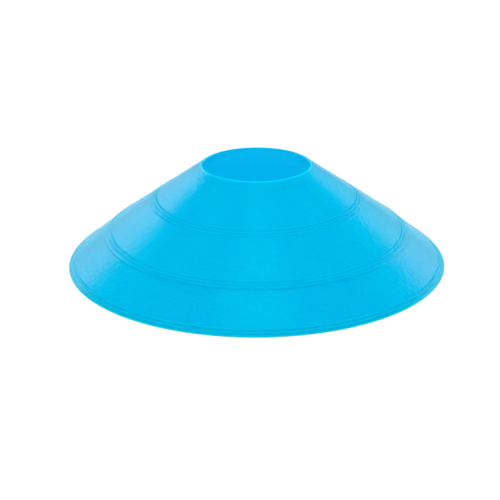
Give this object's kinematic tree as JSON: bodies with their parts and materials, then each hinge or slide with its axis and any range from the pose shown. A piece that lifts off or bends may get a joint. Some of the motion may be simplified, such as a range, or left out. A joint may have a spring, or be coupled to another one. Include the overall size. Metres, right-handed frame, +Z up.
{
  "type": "sports marker cone",
  "caption": "Low, open-topped disc marker cone in thin soft plastic, with a round hole at the top, ribbed bands and a flat foot ring. It marks out drills and stacks on its own kind.",
  "frame": {"origin": "centre of the foot ring, on the plane that the cone stands on", "axes": "+Z up along the cone's axis, out through the hole; X and Y are any two directions across it, since the cone is round"},
  "size_m": [0.19, 0.19, 0.051],
  "materials": {
    "shell_plastic": "sky-blue soft polyethylene, satin with a fine moulded grain, slightly translucent"
  },
  "bodies": {
    "root": {"cone_shell": "shell_plastic"}
  },
  "joints": []
}
